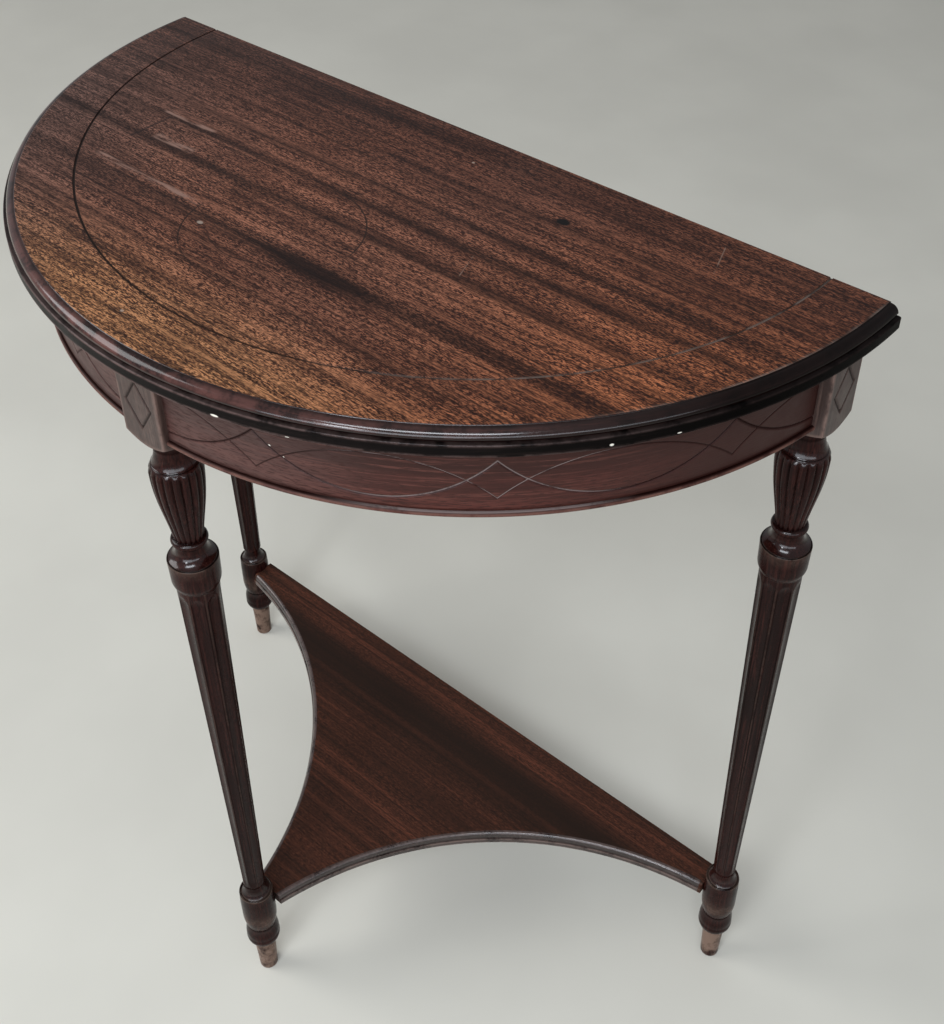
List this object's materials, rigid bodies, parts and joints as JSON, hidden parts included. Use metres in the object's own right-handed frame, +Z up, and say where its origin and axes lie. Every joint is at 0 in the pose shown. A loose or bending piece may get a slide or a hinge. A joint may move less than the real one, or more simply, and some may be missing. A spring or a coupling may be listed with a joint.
{
  "type": "demilune table",
  "caption": "Half-round side table with a moulded top, incised curved aprons, turned reeded and fluted legs and a low hollow-fronted shelf.",
  "frame": {"origin": "on the floor under the middle of the table's box", "axes": "+Z up, X along the straight back edge, +Y towards the straight back edge, -Y towards the round front"},
  "size_m": [0.68, 0.3399, 0.735],
  "materials": {
    "mahogany_top": "polished reddish brown mahogany with ribbon stripe",
    "mahogany_dark": "dark glossy stained mahogany, worn brown at the feet",
    "rail_wood": "plain stained secondary wood, unpolished"
  },
  "bodies": {
    "root": {"apron_bead_left": "mahogany_dark", "apron_bead_right": "mahogany_dark", "apron_left": "mahogany_dark", "apron_right": "mahogany_dark", "back_rail": "rail_wood", "glue_block_back_left": "rail_wood", "glue_block_back_right": "rail_wood", "glue_block_left_back": "rail_wood", "glue_block_left_front": "rail_wood", "glue_block_right_back": "rail_wood", "glue_block_right_front": "rail_wood", "leg_back_left": "mahogany_dark", "leg_back_right": "mahogany_dark", "leg_front": "mahogany_dark", "shelf": "mahogany_top", "top_board": "mahogany_top"}
  },
  "joints": []
}
